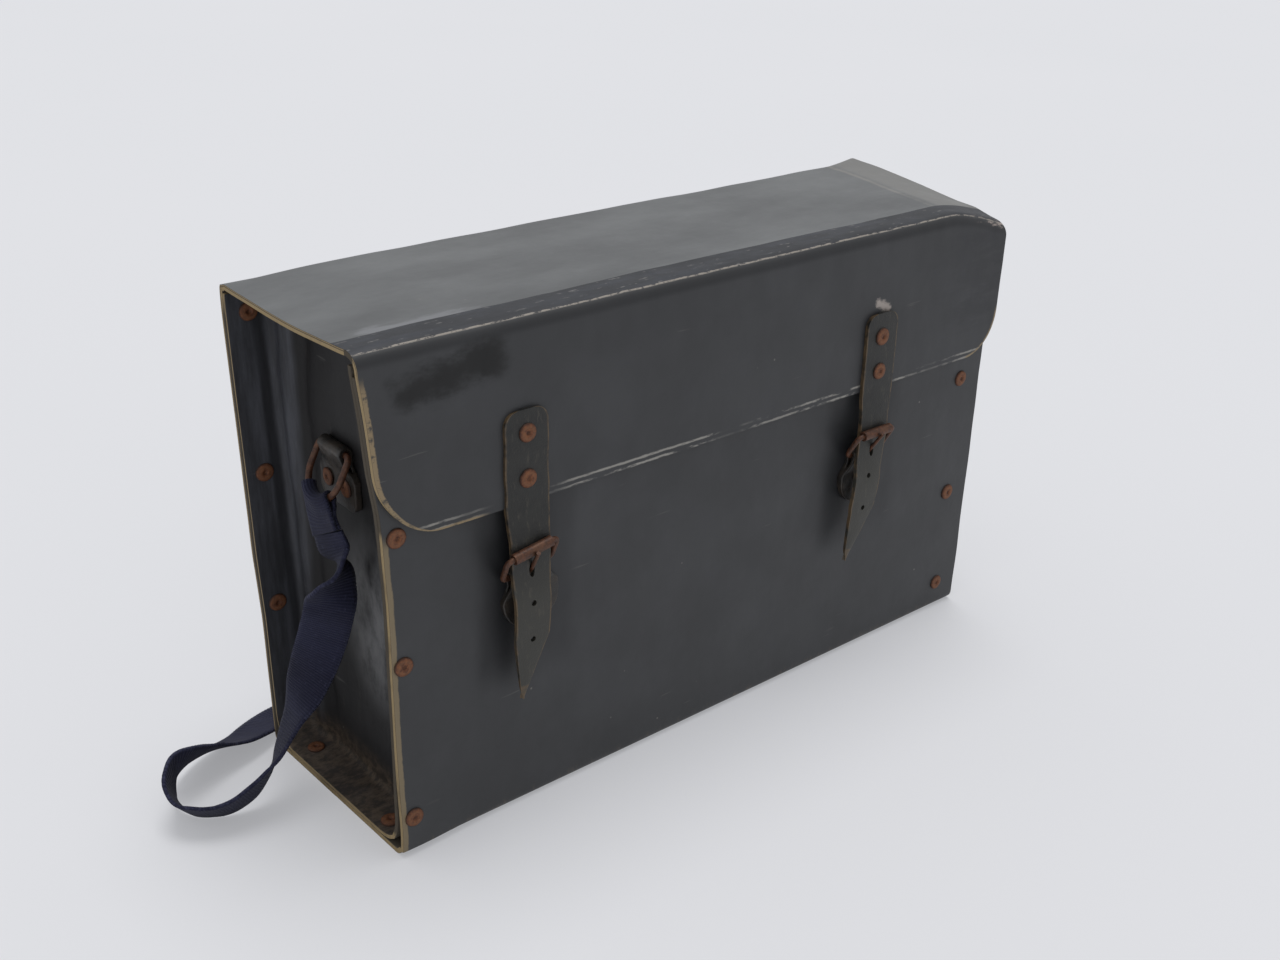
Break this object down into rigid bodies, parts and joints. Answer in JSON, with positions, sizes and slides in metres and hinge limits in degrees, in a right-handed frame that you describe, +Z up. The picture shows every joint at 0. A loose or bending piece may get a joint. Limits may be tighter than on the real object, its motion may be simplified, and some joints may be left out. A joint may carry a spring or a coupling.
{
  "type": "tool bag",
  "caption": "Upright board tool bag with a hinged lid and front flap, strap-and-buckle closings, recessed riveted ends and a webbing shoulder strap.",
  "frame": {"origin": "middle of the flat base, on the floor", "axes": "+X along the bag to its right end seen from the buckled front, +Y to the hinged back, +Z up"},
  "size_m": [0.5556, 0.1849, 0.282],
  "materials": {
    "board": "worn black leathercloth on stiff board, tan at the cut edges",
    "strap_leather": "waxed dark leather",
    "rivet": "rust-brown domed rivet",
    "wire": "dull, rust-stained wire",
    "webbing": "navy woven webbing"
  },
  "bodies": {
    "case": {"case_shell": "board", "lid_fold": "board", "left_gusset": "board", "right_gusset": "board", "front_rivets": "rivet", "back_rivets": "rivet", "base_rivets": "rivet", "left_chape": "strap_leather", "right_chape": "strap_leather", "chape_rivets": "rivet", "left_ring_tab": "strap_leather", "right_ring_tab": "strap_leather", "ring_tab_rivets": "rivet", "left_webbing_run": "webbing", "right_webbing_run": "webbing"},
    "lid": {"lid_panel": "board", "flap_fold": "board"},
    "flap": {"flap_panel": "board", "left_strap_anchor": "strap_leather", "right_strap_anchor": "strap_leather", "strap_rivets": "rivet"},
    "left_strap": {"left_strap_tail": "strap_leather"},
    "right_strap": {"right_strap_tail": "strap_leather"},
    "left_buckle": {"left_buckle_frame": "wire"},
    "left_prong": {"left_prong": "wire"},
    "left_roller": {"left_roller": "wire"},
    "right_buckle": {"right_buckle_frame": "wire"},
    "right_prong": {"right_prong": "wire"},
    "right_roller": {"right_roller": "wire"},
    "left_ring": {"left_ring": "wire", "left_webbing_loop": "webbing"},
    "right_ring": {"right_ring": "wire", "right_webbing_loop": "webbing"}
  },
  "joints": [
    {"name": "lid_hinge", "type": "hinge", "parent": "case", "child": "lid", "pos_m": [0, 0.061, 0.276], "axis": [-1, 0, 0], "range_deg": [0, 120], "deforming": ["lid_fold"]},
    {"name": "flap_hinge", "type": "hinge", "parent": "lid", "child": "flap", "pos_m": [0, -0.0623, 0.274], "axis": [-1, 0, 0], "range_deg": [0, 120], "deforming": ["flap_fold"]},
    {"name": "left_strap_lift", "type": "hinge", "parent": "flap", "child": "left_strap", "pos_m": [-0.14, -0.0703, 0.186], "axis": [-1, 0, 0], "range_deg": [0, 100], "deforming": ["left_strap_tail"]},
    {"name": "right_strap_lift", "type": "hinge", "parent": "flap", "child": "right_strap", "pos_m": [0.1165, -0.0703, 0.186], "axis": [-1, 0, 0], "range_deg": [0, 100], "deforming": ["right_strap_tail"]},
    {"name": "left_buckle_swing", "type": "hinge", "parent": "case", "child": "left_buckle", "pos_m": [-0.14004, -0.0708, 0.1475], "axis": [0.9877, 0, 0.1564], "range_deg": [-28, 60]},
    {"name": "left_prong_swing", "type": "hinge", "parent": "left_buckle", "child": "left_prong", "pos_m": [-0.14004, -0.0708, 0.1475], "axis": [0.9877, 0, 0.1564], "range_deg": [0, 60]},
    {"name": "left_roller_spin", "type": "hinge", "parent": "left_buckle", "child": "left_roller", "pos_m": [-0.14241, -0.07955, 0.16247], "axis": [0.9877, 0, 0.1564], "continuous": true},
    {"name": "right_buckle_swing", "type": "hinge", "parent": "case", "child": "right_buckle", "pos_m": [0.1114, -0.0708, 0.1455], "axis": [1, 0, 0], "range_deg": [-28, 60]},
    {"name": "right_prong_swing", "type": "hinge", "parent": "right_buckle", "child": "right_prong", "pos_m": [0.1114, -0.0708, 0.1455], "axis": [1, 0, 0], "range_deg": [0, 60]},
    {"name": "right_roller_spin", "type": "hinge", "parent": "right_buckle", "child": "right_roller", "pos_m": [0.1114, -0.07955, 0.16066], "axis": [1, 0, 0], "continuous": true},
    {"name": "left_ring_swing", "type": "hinge", "parent": "case", "child": "left_ring", "pos_m": [-0.20305, 0.006, 0.204], "axis": [0, 1, 0], "range_deg": [0, 135], "deforming": ["left_webbing_run"]},
    {"name": "right_ring_swing", "type": "hinge", "parent": "case", "child": "right_ring", "pos_m": [0.20305, 0.006, 0.204], "axis": [0, -1, 0], "range_deg": [0, 135], "deforming": ["right_webbing_run"]}
  ]
}
